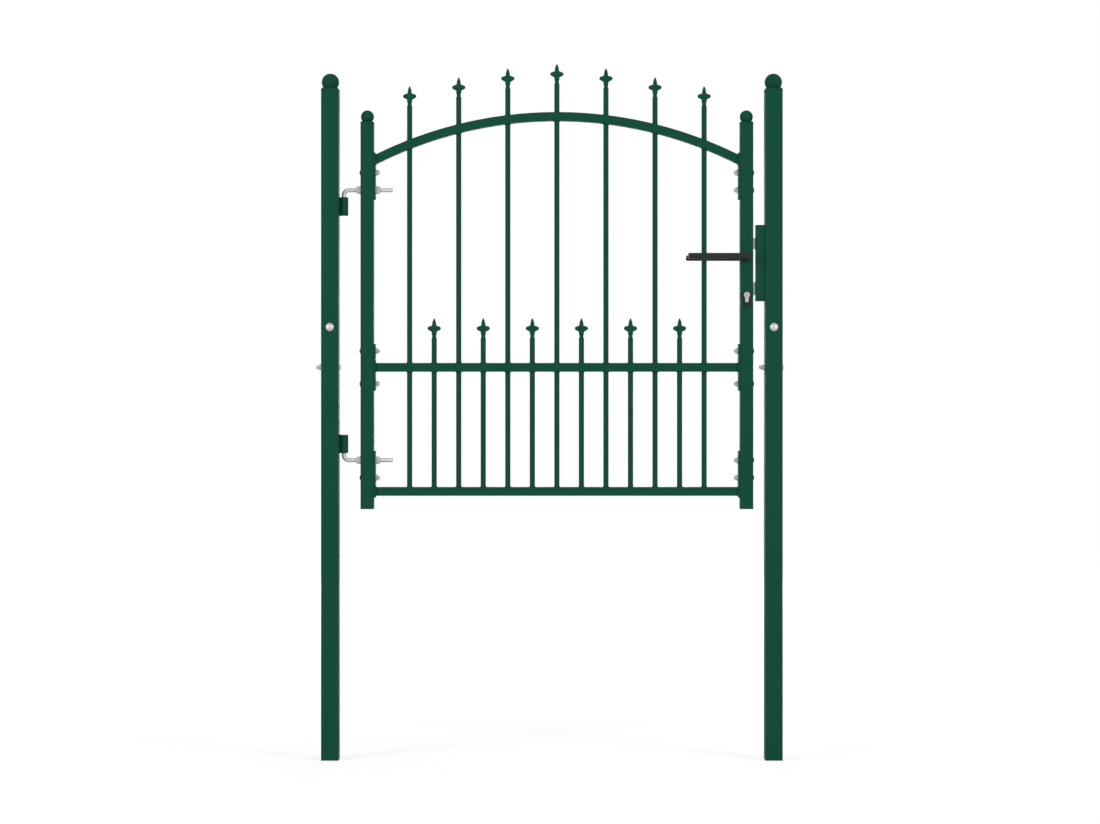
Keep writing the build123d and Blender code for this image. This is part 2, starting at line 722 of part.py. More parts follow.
def lever(side):
    """Build a lever on one face of the stile: a grip that tapers from a round hub, on a neck."""
    grip_y = side * lever_stand
    neck_start = side * (stile_face + lever_neck_gap)
    with BuildPart() as handle:
        with BuildSketch(front_plane(lock_stile_x, grip_y, spindle_z)):
            Circle(lever_hub_diameter / 2)
            with BuildLine():
                hub_radius = lever_hub_diameter / 2
                Polyline(
                    (0, hub_radius),
                    (-lever_hub_diameter, lever_height / 2),
                    (-lever_reach, lever_height / 2),
                    (-lever_reach, -lever_height / 2),
                    (-lever_hub_diameter, -lever_height / 2),
                    (0, -hub_radius),
                    close=True,
                )
            make_face()
        extrude(amount=lever_depth / 2, both=True)
        free_end = handle.edges().filter_by(Axis.Y).group_by(Axis.X)[0]
        fillet(free_end, radius=lever_edge)
        outer_face = handle.faces().sort_by(Axis.Y)[0 if side < 0 else -1]
        inner_face = handle.faces().sort_by(Axis.Y)[-1 if side < 0 else 0]
        chamfer(outer_face.edges() + inner_face.edges(), length=lever_edge)
        with BuildSketch(front_plane(lock_stile_x, neck_start, spindle_z)):
            Circle(lever_neck_diameter / 2)
        extrude(amount=-side * (lever_stand - stile_face - lever_neck_gap))
        socket = spindle_width + 2 * socket_clearance
        with BuildSketch(front_plane(lock_stile_x, 0, spindle_z)):
            Rectangle(socket, socket)
        extrude(amount=-side * (socket_end + socket_clearance), mode=Mode.SUBTRACT)
    return handle.part


front_lever = lever(-1)
front_lever.label = "front_lever"
export_step(front_lever, "parts/front_lever.step")
rear_lever = lever(1)
rear_lever.label = "rear_lever"
export_step(rear_lever, "parts/rear_lever.step")

with BuildPart() as spindle:
    with BuildSketch(front_plane(lock_stile_x, 0, spindle_z)):
        Rectangle(spindle_width, spindle_width)
    extrude(amount=socket_end, both=True)
spindle.part.label = "spindle"
export_step(spindle.part, "parts/spindle.step")

# Latch bolt: a bar with one side of its nose bevelled
bolt_nose = leaf_right + bolt_proud
with BuildPart() as latch_bolt:
    with BuildSketch(Plane((faceplate_back - latch_tail, 0, latch_z))):
        half_latch = latch_thickness / 2
        latch_length = bolt_nose - faceplate_back + latch_tail
        with BuildLine():
            Polyline(
                (0, -half_latch),
                (latch_length, -half_latch),
                (latch_length, half_latch - latch_bevel),
                (latch_length - latch_bevel, half_latch),
                (0, half_latch),
                close=True,
            )
        make_face()
    extrude(amount=latch_height / 2, both=True)
latch_bolt.part.label = "latch_bolt"
export_step(latch_bolt.part, "parts/latch_bolt.step")

# Dead bolt: a block with a shallower tail that runs back over the key cylinder
with BuildPart() as dead_bolt:
    with BuildSketch(front_plane(bolt_nose, 0, dead_bolt_z)):
        with Locations((-dead_bolt_head_length / 2, 0)):
            Rectangle(dead_bolt_head_length, dead_bolt_height)
        tail_length = bolt_nose - faceplate_back + dead_bolt_tail
        with Locations((-tail_length / 2, (dead_bolt_height - dead_bolt_tail_height) / 2)):
            Rectangle(tail_length, dead_bolt_tail_height)
    extrude(amount=dead_bolt_thickness / 2, both=True)
    chamfer(dead_bolt.faces().sort_by(Axis.X)[-1].edges(), length=dead_bolt_edge)
dead_bolt.part.label = "dead_bolt"
export_step(dead_bolt.part, "parts/dead_bolt.step")
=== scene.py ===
"""Dress the spiked fence gate: finishes for its solids, and hardware too small to be solids.

Lengths are metres in the row frame: the origin is the middle of the hinge post's foot, +X runs to
the lock post, +Y away from the camera and +Z up. Small sizes are written in millimetres times MM.
"""

from __future__ import annotations

import json
import logging
from dataclasses import dataclass, field
from enum import Enum

import bmesh
import bpy
import numpy as np
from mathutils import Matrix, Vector

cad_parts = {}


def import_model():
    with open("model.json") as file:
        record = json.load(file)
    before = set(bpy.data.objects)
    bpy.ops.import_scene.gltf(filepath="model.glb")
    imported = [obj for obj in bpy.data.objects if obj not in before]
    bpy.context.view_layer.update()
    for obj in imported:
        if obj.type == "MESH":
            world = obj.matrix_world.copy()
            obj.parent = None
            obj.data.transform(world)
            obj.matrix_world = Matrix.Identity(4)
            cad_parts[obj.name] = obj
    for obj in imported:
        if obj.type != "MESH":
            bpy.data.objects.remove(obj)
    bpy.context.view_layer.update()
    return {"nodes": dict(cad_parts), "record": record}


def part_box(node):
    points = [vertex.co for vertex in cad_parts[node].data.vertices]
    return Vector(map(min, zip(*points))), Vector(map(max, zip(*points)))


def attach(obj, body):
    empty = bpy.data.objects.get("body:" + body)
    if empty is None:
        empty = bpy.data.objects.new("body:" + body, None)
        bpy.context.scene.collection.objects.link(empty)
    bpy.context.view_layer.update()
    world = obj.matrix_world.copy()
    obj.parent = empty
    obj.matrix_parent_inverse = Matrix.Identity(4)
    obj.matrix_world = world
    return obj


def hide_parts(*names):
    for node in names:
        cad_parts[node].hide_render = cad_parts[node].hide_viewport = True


LOG = logging.getLogger("gate")
MM = 0.001
TURN = 2 * np.pi
WHITE = (1.0, 1.0, 1.0, 1.0)
Array = np.ndarray


class Slot(Enum):
    """The record's material slots."""

    COAT = "green_powder_coat"
    CAP = "moulded_cap"
    ZINC = "zinc_plated_steel"
    BLACK = "black_handle"
    NICKEL = "nickel_plated_brass"


class Body(Enum):
    """The bodies that new pieces ride on."""

    POSTS = "posts"
    LEAF = "leaf"


class Facing(Enum):
    """Ways that a turned piece may point, as the images of its own X, Y and Z."""

    RIGHT = ((0, 1, 0), (0, 0, 1), (1, 0, 0))
    LEFT = ((0, -1, 0), (0, 0, 1), (-1, 0, 0))
    FRONT = ((1, 0, 0), (0, 0, 1), (0, -1, 0))
    REAR = ((-1, 0, 0), (0, 0, 1), (0, 1, 0))

    def matrix(self) -> Array:
        """Give the turning matrix, whose last column is the way that the piece points."""
        return np.array(self.value, float).T


def linear_colour(code: str) -> tuple[float, float, float, float]:
    """Turn an sRGB hex colour into linear light.

    The curve is a straight line up to 0.04045, and a power of 2.4 above that.

    Args:
        code: colour such as "#17493A".

    Returns:
        Red, green, blue and an alpha of one.
    """
    srgb = np.array([int(code[place : place + 2], 16) for place in (1, 3, 5)]) / 255
    light = np.where(srgb <= 0.04045, srgb / 12.92, ((srgb + 0.055) / 1.055) ** 2.4)
    return (*light.tolist(), 1.0)


def add_node(
    tree: bpy.types.NodeTree,
    kind: str,
    feeds: dict[str | int, object] | None = None,
    **settings: object,
) -> bpy.types.Node:
    """Add one node with its settings and links.

    Args:
        tree: tree that takes the node.
        kind: Blender's name of the node's type.
        feeds: inputs by name or number, each with a value or an output socket to link.
        settings: properties of the node itself.

    Returns:
        The new node.
    """
    node = tree.nodes.new(kind)
    for name, value in settings.items():
        setattr(node, name, value)
    for name, value in (feeds or {}).items():
        if isinstance(value, bpy.types.NodeSocket):
            tree.links.new(value, node.inputs[name])
        else:
            node.inputs[name].default_value = value
    return node


@dataclass(frozen=True)
class Finish:
    """A surface on the gate: two close tones that drift into each other, and a fine relief."""

    name: str
    tone: str
    other_tone: str
    roughness: float
    rougher: float
    drift_mm: float
    grain_mm: float
    grain_height_mm: float
    metallic: float = 0.0
    specular: float = 0.5
    drift_ends: tuple[float, float] = (0.3, 0.7)

    def relief(self, tree: bpy.types.NodeTree, place: bpy.types.NodeSocket) -> bpy.types.NodeSocket:
        """Give the height of the fine relief, from noise whose grains have the stated width.

        Args:
            tree: the material's tree.
            place: object coordinates.

        Returns:
            The socket with the height.
        """
        grain = {"Scale": 1 / (self.grain_mm * MM), "Detail": 2.0, "Roughness": 0.5}
        return add_node(tree, "ShaderNodeTexNoise", {"Vector": place, **grain}).outputs["Fac"]

    def material(self) -> bpy.types.Material:
        """Build the node material.

        Noise between the two drift ends mixes the tones, and the roughness follows it.

        Returns:
            The material.
        """
        made = bpy.data.materials.new(self.name)
        made.use_nodes = True
        tree = made.node_tree
        shader = tree.nodes["Principled BSDF"]
        place = add_node(tree, "ShaderNodeTexCoord").outputs["Object"]
        patches = {"Scale": 1 / (self.drift_mm * MM), "Detail": 4.0, "Roughness": 0.6}
        noise = add_node(tree, "ShaderNodeTexNoise", {"Vector": place, **patches})
        drift = noise.outputs["Fac"]
        ramp = add_node(tree, "ShaderNodeValToRGB", {"Fac": drift})
        low, high = ramp.color_ramp.elements
        start, end = self.drift_ends
        low.position, high.position = start, end
        low.color, high.color = linear_colour(self.tone), linear_colour(self.other_tone)
        span = {"Value": drift, 1: start, 2: end, 3: self.roughness, 4: self.rougher}
        gloss = add_node(tree, "ShaderNodeMapRange", span)
        depth = {"Strength": 1.0, "Distance": self.grain_height_mm * MM}
        bump = add_node(tree, "ShaderNodeBump", {"Height": self.relief(tree, place), **depth})
        tree.links.new(ramp.outputs["Color"], shader.inputs["Base Color"])
        tree.links.new(gloss.outputs["Result"], shader.inputs["Roughness"])
        tree.links.new(bump.outputs["Normal"], shader.inputs["Normal"])
        shader.inputs["Metallic"].default_value = self.metallic
        shader.inputs["Specular IOR Level"].default_value = self.specular
        return made


@dataclass(frozen=True)
class TurnedFinish(Finish):
    """A finish with the fine rings of a lathe tool about an axis along Y."""

    centre: tuple[float, float, float] = (0.0, 0.0, 0.0)
    wave_length: float = 0.314

    def relief(self, tree: bpy.types.NodeTree, place: bpy.types.NodeSocket) -> bpy.types.NodeSocket:
        """Give the height of the rings, one to each grain width from the axis outwards.

        Args:
            tree: the material's tree.
            place: object coordinates.

        Returns:
            The socket with the height.
        """
        back = tuple(-value for value in self.centre)
        moved = add_node(tree, "ShaderNodeMapping", {"Vector": place, "Location": back})
        # At a scale of one the wave node repeats every wave_length units
        scale = self.wave_length / (self.grain_mm * MM)
        rings = {"Vector": moved.outputs["Vector"], "Scale": scale}
        turned = add_node(tree, "ShaderNodeTexWave", rings, wave_type="RINGS", rings_direction="Y")
        return turned.outputs["Fac"]


@dataclass
class Surface:
    """A mesh held as whole arrays: points in rows of three and faces in rows of four."""

    points: Array
    quads: Array

    @classmethod
    def from_grid(cls, grid: Array, closed: bool) -> Surface:
        """Make a surface of a grid whose columns run all the way round.

        Args:
            grid: points, rows by columns by three.
            closed: whether the last row joins the first.

        Returns:
            The surface, one quad to each cell.
        """
        rows, columns = grid.shape[:2]
        index = np.arange(rows * columns).reshape(rows, columns)
        if closed:
            index = np.vstack((index, index[:1]))
        near, far = index[:-1], index[1:]
        cells = (near, np.roll(near, -1, axis=1), np.roll(far, -1, axis=1), far)
        return cls(grid.reshape(-1, 3), np.stack(cells, axis=-1).reshape(-1, 4))

    def placed(self, facing: Facing, seat: tuple[float, float, float]) -> Surface:
        """Give a copy that points along facing from its seat."""
        return Surface(self.points @ facing.matrix().T + np.array(seat), self.quads)


def turned_grid(radii: Array, heights: Array) -> Array:
    """Turn a profile about Z: x is r times cos a, y is r times sin a and z is the height.

    Args:
        radii: radius of each point, rows by columns.
        heights: height of each point, in the same shape or one column wide.

    Returns:
        The grid, rows by columns by three.
    """
    angle = np.linspace(0, TURN, radii.shape[1], endpoint=False)
    upright = np.broadcast_to(heights, radii.shape)
    return np.stack((radii * np.cos(angle), radii * np.sin(angle), upright), axis=-1)


def carried_grid(path: Array, across: Array, radii: Array, closed: bool) -> Array:
    """Carry a round profile along a path.

    Each point is the path's point plus radius times (cos a times normal plus sin a times binormal).
    The normal is the across direction less its part along the path, the binormal is square to both.

    Args:
        path: points of the centre line, one to each row.
        across: a direction that is nowhere along the path, alone or one to each row.
        radii: radius of each point, rows by columns.
        closed: whether the path runs back into its first point.

    Returns:
        The grid, rows by columns by three.
    """
    if closed:
        tangent = np.roll(path, -1, axis=0) - np.roll(path, 1, axis=0)
    else:
        tangent = np.gradient(path, axis=0)
    tangent /= np.linalg.norm(tangent, axis=1, keepdims=True)
    normal = across - (across * tangent).sum(axis=1, keepdims=True) * tangent
    normal /= np.linalg.norm(normal, axis=1, keepdims=True)
    binormal = np.cross(tangent, normal)
    angle = np.linspace(0, TURN, radii.shape[1], endpoint=False)[None, :, None]
    ring = np.cos(angle) * normal[:, None, :] + np.sin(angle) * binormal[:, None, :]
    return path[:, None, :] + radii[:, :, None] * ring


@dataclass
class Workshop:
    """Puts finished surfaces into the scene, with the finish and the body of each piece."""

    materials: dict[Slot, bpy.types.Material]
    solids: list[str]
    sharp_angle: float = np.radians(38)
    join_distance: float = 1e-6

    def put(
        self, name: str, surfaces: list[Surface], slot: Slot, body: Body, *stood_for: str
    ) -> None:
        """Make one piece of several surfaces.

        Args:
            name: the piece's name.
            surfaces: closed surfaces in the row frame.
            slot: finish of the piece.
            body: body that it rides on.
            stood_for: solids that it takes the place of.
        """
        starts = np.cumsum([0] + [len(surface.points) for surface in surfaces[:-1]])
        points = np.concatenate([surface.points for surface in surfaces])
        quads = np.concatenate([surface.quads + start for surface, start in zip(surfaces, starts)])
        mesh = bpy.data.meshes.new(name)
        mesh.from_pydata(points.tolist(), [], quads.tolist())
        shell = bmesh.new()
        shell.from_mesh(mesh)
        bmesh.ops.remove_doubles(shell, verts=shell.verts, dist=self.join_distance)
        bmesh.ops.recalc_face_normals(shell, faces=shell.faces)
        shell.to_mesh(mesh)
        shell.free()
        mesh.shade_smooth()
        mesh.set_sharp_from_angle(angle=self.sharp_angle)
        mesh.materials.append(self.materials[slot])
        piece = bpy.data.objects.new(name, mesh)
        bpy.context.scene.collection.objects.link(piece)
        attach(piece, body.value)
        if stood_for:
            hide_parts(*stood_for)
        LOG.info("%s: %d faces on %s", name, len(mesh.polygons), body.value)


@dataclass
class Thread:
    """A metric screw thread on a round rod."""

    diameter: float
    pitch: float
    depth_share: float = 0.32
    steps_a_turn: int = 7

    def radii(self, along: Array, columns: int) -> Array:
        """Give the radius of a thread's surface.

        The radius falls from the crest by the depth times a triangle wave of length over pitch less
        angle over a whole turn, so the crest climbs one pitch in a turn.

        Args:
            along: distance of each row along the rod.
            columns: points round the rod.

        Returns:
            The radii, rows by columns.
        """
        share = np.arange(columns) / columns
        wave = np.abs(2 * np.mod(along[:, None] / self.pitch - share, 1) - 1)
        return self.diameter / 2 - self.depth_share * self.pitch * wave

    def rows(self, start: float, end: float) -> Array:
        """Give places along a threaded length that are close enough to show the thread."""
        return np.linspace(start, end, int(abs(end - start) / self.pitch * self.steps_a_turn) + 2)


def bolt_thread() -> Thread:
    """Give the coarse 8 mm thread that all the bolts have."""
    return Thread(diameter=8 * MM, pitch=1.25 * MM)


@dataclass
class HexNut:
    """A hexagon nut with both faces chamfered, on its seat and pointing along Z."""

    flats: float
    height: float
    bore: float
    face_share: float = 0.95
    chamfer_slope: float = 0.58
    countersink: float = 0.6 * MM
    columns: int = 72

    def surface(self) -> Surface:
        """Build the nut.

        The sides stand half the flats over the cosine of the angle from the nearest flat's
        middle. A cone from the faces' circle cuts the corners, lower the further one stands out.

        Returns:
            The closed ring.
        """
        turn = np.linspace(0, TURN, self.columns, endpoint=False)
        side = self.flats / 2 / np.cos(np.mod(turn, TURN / 6) - TURN / 12)
        face = np.full_like(side, self.flats / 2 * self.face_share)
        bore = np.full_like(side, self.bore / 2)
        cut = (side - face) * self.chamfer_slope
        level = np.zeros_like(side)
        sink = self.countersink
        radii = np.stack((bore, bore + sink, face, side, side, face, bore + sink, bore))
        top = level + self.height
        heights = np.stack((level + sink, level, level, cut, top - cut, top, top, top - sink))
        return Surface.from_grid(turned_grid(radii, heights), closed=True)


@dataclass
class Washer:
    """A stamped flat washer with rounded edges, on its seat and pointing along Z."""

    diameter: float
    bore: float
    thickness: float
    edge: float = 0.3 * MM
    columns: int = 48

    def surface(self) -> Surface:
        """Build the washer by turning its section, a bar with two broken corners.

        Returns:
            The closed ring.
        """
        rim, hole, thick = self.diameter / 2, self.bore / 2, self.thickness
        section = np.array(
            [
                (hole, 0),
                (rim - self.edge, 0),
                (rim, self.edge),
                (rim, thick - self.edge),
                (rim - self.edge, thick),
                (hole, thick),
            ]
        )
        radii = np.repeat(section[:, :1], self.columns, axis=1)
        return Surface.from_grid(turned_grid(radii, section[:, 1:]), closed=True)


@dataclass
class DomeBolt:
    """A dome-headed bolt with its head's seat at the origin and its thread along Z."""

    head_diameter: float
    head_height: float
    length: float
    threaded: float
    thread: Thread
    tip: float = 0.9 * MM
    dome_rows: int = 14
    columns: int = 40

    def head(self) -> Surface:
        """Build the head, a cap of a sphere that is closed by a flat seat.

        The sphere's radius is (a squared plus h squared) over 2h, for a head of radius a and
        height h.

        Returns:
            The closed cap.
        """
        rim, high = self.head_diameter / 2, self.head_height
        sphere = (rim**2 + high**2) / (2 * high)
        reach = rim * np.sin(np.linspace(0, TURN / 4, self.dome_rows))
        rise = sphere - high - np.sqrt(sphere**2 - reach**2)
        radii = np.append(reach, 0)[:, None].repeat(self.columns, axis=1)
        return Surface.from_grid(turned_grid(radii, np.append(rise, 0)[:, None]), closed=False)

    def shank(self) -> Surface:
        """Build the shank: a plain round from inside the head, a thread and a tapered tip.

        On the tip the radius is at most the crest less the distance run into the tip.

        Returns:
            The shank, closed on the axis at both ends.
        """
        root, start = -self.head_height / 2, self.length - self.threaded
        along = self.thread.rows(start, self.length)
        cut = self.thread.radii(along, self.columns)
        taper = np.clip((self.length - along) / self.tip, 0, 1)[:, None]
        crest = self.thread.diameter / 2
        cut = np.minimum(cut, crest - (1 - taper) * self.tip)
        plain = np.full((2, self.columns), crest)
        none = np.zeros((1, self.columns))
        radii = np.vstack((none, plain, cut, none))
        heights = np.concatenate(([root, root, start], along, [self.length]))[:, None]
        return Surface.from_grid(turned_grid(radii, heights), closed=False)


@dataclass
class CrossScrew:
    """A raised countersunk screw head with a cross recess, on its seat and pointing along Z."""

    diameter: float
    rise: float
    recess_width: float
    recess_reach: float
    recess_depth: float
    flank_share: float = 0.25
    rows: int = 28
    columns: int = 96

    def surface(self) -> Surface:
        """Build the head as a height over a disc.

        The height is a parabola over the radius, less the recess where a point lies within half the
        recess width of either of two crossed lines and within its reach of the middle.

        Returns:
            The head, closed underneath.
        """
        radius = np.linspace(0, self.diameter / 2, self.rows)[:, None].repeat(self.columns, axis=1)
        turn = np.linspace(0, TURN, self.columns, endpoint=False)
        off_line = np.minimum(np.abs(radius * np.cos(turn)), np.abs(radius * np.sin(turn)))
        flank = self.recess_width * self.flank_share
        inside = np.clip((self.recess_width / 2 - off_line) / flank, 0, 1)
        inside *= np.clip((self.recess_reach - radius) / flank, 0, 1)
        heights = self.rise * (1 - (2 * radius / self.diameter) ** 2) - inside * self.recess_depth
        floor = np.zeros((1, self.columns))
        radii = np.vstack((radius, floor))
        heights = np.vstack((heights, floor - self.recess_depth - self.rise))
        return Surface.from_grid(turned_grid(radii, heights), closed=False)


class Hinge(Enum):
    """The two hinges, by the way that the leg of each rod points from its run."""

    UPPER = -1
    LOWER = 1

    def node(self) -> str:
        """Give the name of the rod's solid."""
        return f"{self.name.lower()}_hinge_rod"

    def run(self) -> tuple[float, float]:
        """Measure the rod on its solid.

        Returns:
            The rod's radius and the height of its run.
        """
        low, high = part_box(self.node())
        radius = (high.y - low.y) / 2
        return radius, low.z + radius if self is Hinge.LOWER else high.z - radius


@dataclass
class HingeHardware:
    """Two bent, threaded hinge rods and the nuts that clamp them to the hinge stile."""

    bend: float = 12 * MM
    pitch: float = 1.5 * MM
    nut_flats: float = 17 * MM
    nut_height: float = 8 * MM
    nut_bore: float = 9 * MM
    thread_lead: float = 4 * MM
    tip: float = 1.2 * MM
    end_step: float = 0.0001 * MM
    columns: int = 28
    bend_rows: int = 26

    def rod(self, hinge: Hinge) -> Surface:
        """Carry the rod's round section up its leg, round the bend and along the run.

        On a bend of radius b, x lies b times (1 less cos a) from the leg and z lies b times
        (1 less sin a) from the run.

        Args:
            hinge: which of the two rods it is.

        Returns:
            The closed rod, threaded where the nuts go.
        """
        low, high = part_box(hinge.node())
        crest, run = hinge.run()
        axis, way = low.x + crest, hinge.value
        leg_end = high.z if hinge is Hinge.LOWER else low.z
        thread = Thread(2 * crest, self.pitch)
        turn = np.linspace(0, TURN / 4, self.bend_rows)
        arc_x = axis + self.bend * (1 - np.cos(turn))
        arc_z = run + way * self.bend * (1 - np.sin(turn))
        thread_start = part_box("hinge_washers")[0].x - self.nut_height - self.thread_lead
        along = thread.rows(thread_start, high.x)
        path_x = np.concatenate(([axis, axis], arc_x, along, [high.x]))
        path_z = np.concatenate(([leg_end, leg_end], arc_z, np.full(len(along) + 1, run)))
        path = np.stack((path_x, np.zeros_like(path_x), path_z), axis=-1)
        # The doubled end rows give each end a flat face that closes on the axis
        path[0] += (0, 0, way * self.end_step)
        path[-1] += (self.end_step, 0, 0)
        taper = np.clip((high.x - along) / self.tip, 0, 1)[:, None]
        cut = np.minimum(thread.radii(along, self.columns), crest - (1 - taper) * self.tip)
        plain = np.full((len(arc_x) + 1, self.columns), crest)
        none = np.zeros((1, self.columns))
        across = np.array((0.0, 1.0, 0.0))
        grid = carried_grid(path, across, np.vstack((none, plain, cut, none)), closed=False)
        return Surface.from_grid(grid, closed=False)

    def build(self, workshop: Workshop) -> None:
        """Put the rods and their nuts into the scene.

        Args:
            workshop: takes the finished pieces.
        """
        nut = HexNut(self.nut_flats, self.nut_height, self.nut_bore).surface()
        low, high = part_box("hinge_washers")
        nuts = []
        for hinge in Hinge:
            name = f"{hinge.name.lower()}_threaded_rod"
            workshop.put(name, [self.rod(hinge)], Slot.ZINC, Body.LEAF, hinge.node())
            _, run = hinge.run()
            nuts.append(nut.placed(Facing.LEFT, (low.x, 0, run)))
            nuts.append(nut.placed(Facing.RIGHT, (high.x, 0, run)))
        workshop.put("hinge_hex_nuts", nuts, Slot.ZINC, Body.LEAF, "hinge_nuts")


@dataclass
class FenceBolts:
    """Dome-headed bolts through both posts, one from side to side and one from front to back."""

    head_diameter: float = 19 * MM
    head_height: float = 4.4 * MM
    reach: float = 13 * MM
    threaded: float = 22 * MM
    nut_flats: float = 13 * MM
    nut_height: float = 6.5 * MM
    nut_bore: float = 7 * MM
    thread: Thread = field(default_factory=bolt_thread)

    def build(self, workshop: Workshop) -> None:
        """Put the bolts and nuts where the solids have them.

        Args:
            workshop: takes the finished pieces.
        """
        bolt_low, bolt_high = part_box("fence_bolts")
        side_z = bolt_low.z + self.head_diameter / 2
        front_z = bolt_high.z - self.head_diameter / 2
        nut = HexNut(self.nut_flats, self.nut_height, self.nut_bore).surface()
        bolts, nuts = [], []
        for post in ("hinge_post", "lock_post"):
            low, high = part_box(post)
            middle = (low.x + high.x) / 2
            length = high.x - low.x + self.reach
            head = self.head_diameter, self.head_height
            bolt = DomeBolt(*head, length, self.threaded, self.thread)
            for part in (bolt.head(), bolt.shank()):
                bolts.append(part.placed(Facing.LEFT, (high.x, 0, side_z)))
                bolts.append(part.placed(Facing.REAR, (middle, low.y, front_z)))
            nuts.append(nut.placed(Facing.LEFT, (low.x, 0, side_z)))
            nuts.append(nut.placed(Facing.REAR, (middle, high.y, front_z)))
        workshop.put("fence_dome_bolts", bolts, Slot.ZINC, Body.POSTS, "fence_bolts")
        workshop.put("fence_hex_nuts", nuts, Slot.ZINC, Body.POSTS, "fence_nuts")


@dataclass
class PanelBolts:
    """Bolts that clamp the end plates of the picket panel to the two stiles."""

    head_diameter: float = 15 * MM
    head_height: float = 3.2 * MM
    reach: float = 10 * MM
    threaded: float = 20 * MM
    nut_flats: float = 13 * MM
    nut_height: float = 5 * MM
    nut_bore: float = 7 * MM
    washer_diameter: float = 16 * MM
    washer_bore: float = 8.4 * MM
    washer_thickness: float = 1.4 * MM
    outer_offset: float = 8 * MM
    middle_offset: float = 37.8 * MM
    thread: Thread = field(default_factory=bolt_thread)

    def heights(self, on_hinge_stile: bool) -> list[float]:
        """Work out the bolts' heights from the plates.

        The hinge rods take the place of two bolts, and the lock stile has bolts level with them.

        Args:
            on_hinge_stile: whether the bolts are those of the hinge stile.

        Returns:
            The heights of one stile's bolts.
        """
        plates = [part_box(f"{row}_end_plates") for row in ("upper", "middle", "lower")]
        upper, middle, lower = ((low.z + high.z) / 2 for low, high in plates)
        found = [upper + self.outer_offset, middle + self.middle_offset]
        found += [middle - self.middle_offset, lower - self.outer_offset]
        return found if on_hinge_stile else found + [hinge.run()[1] for hinge in Hinge]

    def build(self, workshop: Workshop) -> None:
        """Put the bolts, washers and nuts on both stiles.

        Args:
            workshop: takes the finished pieces.
        """
        nut = HexNut(self.nut_flats, self.nut_height, self.nut_bore).surface()
        washer = Washer(self.washer_diameter, self.washer_bore, self.washer_thickness).surface()
        rail_low, rail_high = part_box("middle_rail")
        heads, shanks, rings = [], [], []
        for stile, facing in (("hinge_stile", Facing.RIGHT), ("lock_stile", Facing.LEFT)):
            low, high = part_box(stile)
            inwards = 1 if facing is Facing.RIGHT else -1
            seat = low.x if inwards > 0 else high.x
            plate = rail_low.x if inwards > 0 else rail_high.x
            nut_seat = plate + inwards * self.washer_thickness
            length = abs(plate - seat) + self.reach
            head = self.head_diameter, self.head_height
            bolt = DomeBolt(*head, length, self.threaded, self.thread)
            for height in self.heights(stile == "hinge_stile"):
                heads.append(bolt.head().placed(facing, (seat, 0, height)))
                shanks.append(bolt.shank().placed(facing, (seat, 0, height)))
                rings.append(washer.placed(facing, (plate, 0, height)))
                rings.append(nut.placed(facing, (nut_seat, 0, height)))
        workshop.put("panel_bolt_heads", heads, Slot.BLACK, Body.LEAF)
        workshop.put("panel_bolt_shanks", shanks, Slot.ZINC, Body.LEAF)
        workshop.put("panel_bolt_nuts", rings, Slot.ZINC, Body.LEAF)


@dataclass
class ArchLine:
    """The circle that the middle of the arched rail follows."""

    ends: tuple[float, float]
    half: float
    bend: float
    centre: float

    @classmethod
    def of_rail(cls) -> ArchLine:
        """Work the circle out from the box of the rail's solid.

        With s for half the chord, r for the rise and h for half the depth, the bend's radius is
        (s squared plus (h less r) squared less h squared) over (2r less 4h), because the box ends
        where the rail's underside meets the plates.

        Returns:
            The circle.
        """
        low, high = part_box("arch_rail")
        half, span, rise = (high.y - low.y) / 2, (high.x - low.x) / 2, high.z - low.z
        bend = (span**2 + (half - rise) ** 2 - half**2) / (2 * rise - 4 * half)
        return cls((low.x, high.x), half, bend, high.z - half - bend)

    def height(self, x: Array | float, lift: float) -> Array | float:
        """Give the height of the circle whose radius is larger by the lift.

        Args:
            x: place along X.
            lift: distance outwards from the rail's middle.

        Returns:
            The centre's height plus the root of the radius squared less the distance squared.
        """
        aside = x - sum(self.ends) / 2
        return self.centre + np.sqrt((self.bend + lift) ** 2 - aside**2)


